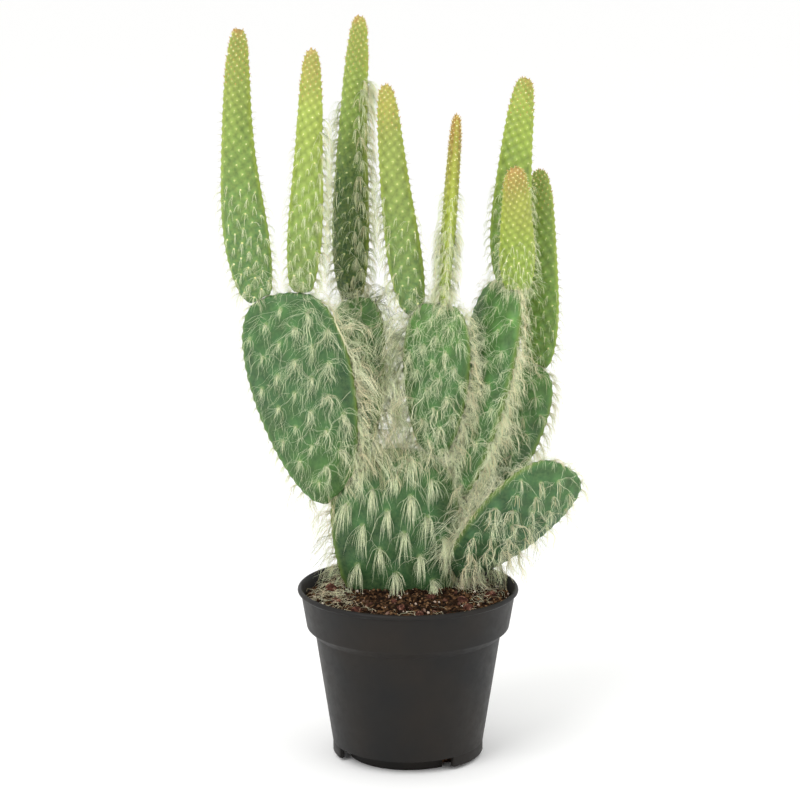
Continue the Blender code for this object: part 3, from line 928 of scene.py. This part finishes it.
leftRow = dict(margin=True, across=(-2, -0.2))
rightRow = dict(margin=True, across=(0.2, 2))
shaded = dict(tone=(0.02, 0.13), thick=0.17)
# thin arcs, from painted shaded olive to cream: the darker tones are painted shade on wool in shadow
fine = dict(thick=0.12, tone=(0.08, 0.36), spread=0.7, curl=1.8)
basePad = {
    **grown, "node": "base_pad", "seed": 21, "spacing": (17, 17.5, 15),
    "greens": [(0.0, "#1f4423"), (1.0, "#3d6a35"), (0.6, "#2a552b")],
    "hair": [
        hair("broom", 42, across=(-0.86, 0.86), crown=0.8, margin=False),
        hair("broom", 12, margin=True, crown=0.7),
        hair("stray", 6),
        hair("wool", 9, across=(0.6, 2), crown=0.8),
        hair("stray", 16, across=(0.3, 2)),
        hair("wool", 11, across=(-2, -0.84), crown=0.8),
        hair("wool", 6, across=(-2, -0.84), crown=0.8, change=dict(tone=(0.62, 0.72))),
        hair("wool", 23, along=(0.85, 1), crown=1.4),
    ],
}
leftPad = {
    **grown, "node": "left_pad", "seed": 22, "spacing": (13, 14.5, 13),
    "greens": [(0.0, "#44702f"), (1.0, "#3c6835"), (0.55, "#355f35")],
    "hair": [
        hair("tuft", 11, across=(-0.85, 0.85), crown=0.4),
        hair("stray", 14, margin=False, change=dict(length=(12, 26))),
        hair("stray", 20, across=(0.0, 0.9), change=dict(length=(12, 26))),
        hair("wool", 13, across=(0.42, 0.95), margin=False),
        hair("bristle", 4, margin=True),
        hair("wool", 26, margin=True, across=(0.3, 2), along=(0.0, 0.72)),
        hair("fall", 12, margin=True, across=(0.3, 2), along=(0.3, 0.97)),
        hair("arch", 9, margin=True, across=(0.3, 2), along=(0.5, 0.97)),
        hair("tuft", 5, margin=True, across=(-2, -0.3)),
        hair("fall", 8, margin=True, across=(-2, 0), along=(0.0, 0.16)),
    ],
}
rearPad = {
    **grown, "node": "rear_pad", "seed": 23, "spacing": (11, 11, 10),
    "greens": [(0.0, "#3a6232"), (1.0, "#56803f"), (0.55, "#3f6a37")],
    "hair": [
        hair("tuft", 14), hair("stray", 12), hair("wool", 8),
        hair("fall", 30, **rightRow),
        hair("fall", 15, **rightRow, change=shaded),
        hair("wool", 22, **leftRow),
    ],
}
middlePad = {
    **grown, "node": "middle_pad", "seed": 24, "spacing": (10, 11, 9),
    "greens": [(0.0, "#3d6633"), (1.0, "#5a853f"), (0.55, "#3f6d37")],
    "hair": [
        hair("tuft", 7, across=(-0.85, 0.85)), hair("stray", 30),
        hair("wool", 6, along=(0, 0.5)),
        hair("fall", 34, **leftRow, along=(0, 0.95), crown=1.4),
        hair("fall", 16, **leftRow, along=(0, 0.95), change=shaded),
        hair("arch", 16, **rightRow),
        hair("wool", 16, **rightRow, along=(0, 0.7)),
        hair("puff", 14, margin=True, along=(0.85, 1)),
    ],
}
upperRightPad = {
    **grown, "node": "upper_right_pad", "seed": 25, "spacing": (11, 12.5, 11),
    "greens": [(0.0, "#38622f"), (1.0, "#54813a"), (0.6, "#3f6e35")],
    "hair": [
        hair("tuft", 7, across=(-0.85, 0.85)), hair("stray", 8),
        hair("stray", 22, along=(0, 0.75)),
        hair("arch", 24, **rightRow),
        hair("wool", 12, **rightRow, along=(0, 0.8)),
        hair("arch", 12, **leftRow),
        hair("fall", 12, **leftRow, along=(0, 0.8)),
        hair("fall", 6, **leftRow, along=(0, 0.8), change=shaded),
        hair("wool", 10, along=(0, 0.35)),
    ],
}
lowerRightPad = {
    **grown, "node": "lower_right_pad", "seed": 26, "spacing": (10, 11, 10),
    "greens": [(0.0, "#3c6034"), (1.0, "#54803a"), (0.6, "#416c38")],
    "hair": [
        hair("arch", 14), hair("stray", 14, change=dict(length=(7, 14))),
        hair("arch", 10, margin=True, crown=0.4),
        hair("wool", 12, along=(0, 0.6), change=dict(length=(9, 17))),
        hair("fall", 9, margin=True, across=(-2, 0.2), along=(0, 0.8), change=dict(length=(14, 26))),
    ],
}
lowSidePad = {
    **grown, "node": "low_side_pad", "seed": 27, "spacing": (10, 11, 11),
    "greens": [(0.0, "#3a6040"), (1.0, "#44703c"), (0.6, "#355f3a")],
    "hair": [
        hair("arch", 11, across=(-0.85, 0.85)), hair("stray", 10),
        hair("bristle", 4, margin=True),
        hair("wool", 18, along=(0, 0.40)),
        hair("wool", 16, along=(0.4, 0.66), margin=False),
        hair("fall", 6, **leftRow, along=(0, 0.8)),
        hair("arch", 10, **leftRow),
    ],
}
shootHair = [
    hair("spine", 3, crown=0.2),
    hair("down", 5, along=(0, 0.45), crown=0.25),
    hair("puff", 12, along=(0, 0.13)),
    hair("bristle", 2.5, margin=True, along=(0, 0.7)),
]
leftOuterShoot = {
    **young, "node": "left_outer_shoot", "seed": 31, "turn": 0.1,
    "greens": [(0.0, "#44703f"), (1.0, "#c08a52"), (0.30, "#577c41"), (0.62, "#779140"), (0.95, "#8f9743")],
    "hair": [*shootHair, hair("down", 7, along=(0, 0.3), across=(-0.2, 2), crown=0.3)],
}
leftInnerShoot = {
    **young, "node": "left_inner_shoot", "seed": 32, "turn": 0.3,
    "greens": [(0.0, "#607c44"), (1.0, "#c69a5e"), (0.35, "#7c9643"), (0.75, "#94a548"), (0.95, "#a39f4c")],
    "hair": [*shootHair, hair("down", 5, along=(0, 0.62), crown=0.3),
             hair("arch", 9, along=(0, 0.72), across=(0.6, 2), crown=0.3),
             hair("arch", 14, along=(0, 0.72), across=(0.6, 2), crown=0.5, change=fine)],
}
rearShoot = {
    **young, "node": "rear_shoot", "seed": 33, "turn": 0.45,
    # the dark stops low on this ramp are painted shadow on the lower half of the shoot
    "greens": [(0.0, "#23431f"), (1.0, "#b9964f"), (0.42, "#2b4f22"), (0.72, "#7c9640"), (0.95, "#97a045")],
    "hair": [*shootHair, hair("arch", 14, along=(0, 0.78), across=(0.3, 2), crown=0.4),
             hair("arch", 16, along=(0, 0.78), across=(0.4, 2), crown=0.5, change=fine),
             hair("arch", 9, along=(0, 0.7), across=(-2, -0.7), crown=0.3),
             hair("arch", 18, along=(0, 0.72), across=(-2, -0.6), crown=0.5, change=fine)],
}
middleFrontShoot = {
    **young, "node": "middle_front_shoot", "seed": 34, "turn": 0.6,
    "greens": [(0.0, "#4c7040"), (1.0, "#cb9a5f"), (0.35, "#6d8842"), (0.75, "#8b9a48"), (0.95, "#aba54c")],
    "hair": [*shootHair, hair("arch", 7, along=(0, 0.5), across=(-2, -0.5), crown=0.3),
             hair("arch", 16, along=(0, 0.6), across=(-2, -0.6), crown=0.5, change=fine)],
}
middleSideShoot = {
    **young, "node": "middle_side_shoot", "seed": 35, "turn": 0.7,
    "spacing": (5.2, 4.6, 2.2), "marginSpacing": 4.2,
    "greens": [(0.0, "#7f9a3a"), (1.0, "#b27a36"), (0.5, "#93a03c"), (0.8, "#948538"), (0.93, "#a37a36")],
    "hair": [*shootHair, hair("down", 8, along=(0, 0.6), crown=0.3),
             hair("arch", 6, along=(0, 0.4), crown=0.3),
             hair("arch", 9, along=(0, 0.4), crown=0.5, change=fine)],
}
rightRearShoot = {
    **young, "node": "right_rear_shoot", "seed": 36, "turn": 0.8,
    "greens": [(0.0, "#4a763b"), (1.0, "#a5944a"), (0.40, "#6f8f3c"), (0.75, "#8ca23f"), (0.95, "#97a345")],
    "hair": [*shootHair, hair("down", 8, along=(0, 0.5), crown=0.3)],
}
rightFrontShoot = {
    **young, "node": "right_front_shoot", "seed": 37, "turn": 0.9,
    "spacing": (4.6, 4.2, 2.2), "marginSpacing": 4.0,
    "greens": [(0.0, "#7c9a3c"), (1.0, "#b88a50"), (0.40, "#8ca240"), (0.75, "#9da147"), (0.93, "#ad974c")],
    "hair": shootHair,
}
rightOuterShoot = {
    **young, "node": "right_outer_shoot", "seed": 38, "turn": 0.15,
    "greens": [(0.0, "#557f36"), (1.0, "#82923f"), (0.40, "#608634"), (0.75, "#6e8936"), (0.93, "#7a8f3a")],
    "hair": [*shootHair, hair("arch", 12, along=(0, 0.75), across=(-2, -0.3), crown=0.3)],
}

pads = [basePad, leftPad, rearPad, middlePad, upperRightPad, lowerRightPad, lowSidePad]
shoots = [leftOuterShoot, leftInnerShoot, rearShoot, middleFrontShoot, middleSideShoot, rightRearShoot,
          rightFrontShoot, rightOuterShoot]
for padLook in pads + shoots:
    first, *others = padLook["node"].split("_")
    padLook["piece"] = first + "".join(word.capitalize() for word in others)
    makeSkin(padLook)

plantSkins = treeOf(plantMeshes)
wool = woolFibre()


# hairs that the plant has shed lie on the mix, most of them at the left and at the back right
litter = {
    "piece": "shedHair", "seed": 77, "length": (5, 15), "thick": 0.13, "bends": 7, "curl": 0.75,
    "startIn": 6 * mm, "endIn": 2.5 * mm, "above": 0.3 * mm, "lift": (0.2, 2.4), "tone": (0.3, 0.78),
    "heaps": [(185, 22, 130), (150, 20, 80), (28, 18, 110), (335, 40, 14), (270, 60, 16), (90, 60, 50)],
}


def makeLitter():
    draw = np.random.default_rng(litter["seed"])
    turns = np.concatenate([draw.normal(middle, wide, count) for middle, wide, count in litter["heaps"]])
    count, bends = len(turns), litter["bends"]
    reach = (potRadii["bandTop"] - litter["startIn"]) * np.sqrt(draw.uniform(0.45, 1.0, count))
    flat = np.stack([reach * np.cos(np.radians(turns)), reach * np.sin(np.radians(turns))], axis=1)
    way = draw.uniform(0, 2 * math.pi, count)
    lift = draw.uniform(*litter["lift"], count) * mm
    step = draw.uniform(*litter["length"], count) * mm / bends
    paths = np.empty((count, bends + 1, 3))
    most = potRadii["bandTop"] - litter["endIn"]
    for number in range(bends + 1):
        out = np.linalg.norm(flat, axis=1, keepdims=True)
        flat = flat * np.minimum(1, most / out)
        heights = np.array([soilTop(x, y) for x, y in flat]) + litter["above"]
        arch = math.sin(math.pi * (number + 0.5) / (bends + 1))
        paths[:, number] = np.column_stack([flat, heights + lift * arch])
        way = way + draw.normal(size=count) * litter["curl"]
        flat = flat + np.stack([np.cos(way), np.sin(way)], axis=1) * step[:, None]
    radii = np.full((count, bends + 1), litter["thick"] / 2 * mm)
    mesh = strandMesh(litter["piece"], paths, radii, draw.uniform(*litter["tone"], count))
    rideRoot(newPiece(litter["piece"], mesh), wool)
    print("shed hair", count)


makeLitter()
for padLook in pads + shoots:
    makeWool(padLook, wool, plantSkins)
leafMaterial = leafFlesh()
for padLook in shoots:
    makeLeaves(padLook, leafMaterial)

shown = [piece for piece in bpy.context.scene.objects if piece.type == "MESH" and not piece.hide_render]
print(triangles(shown), "triangles in all")
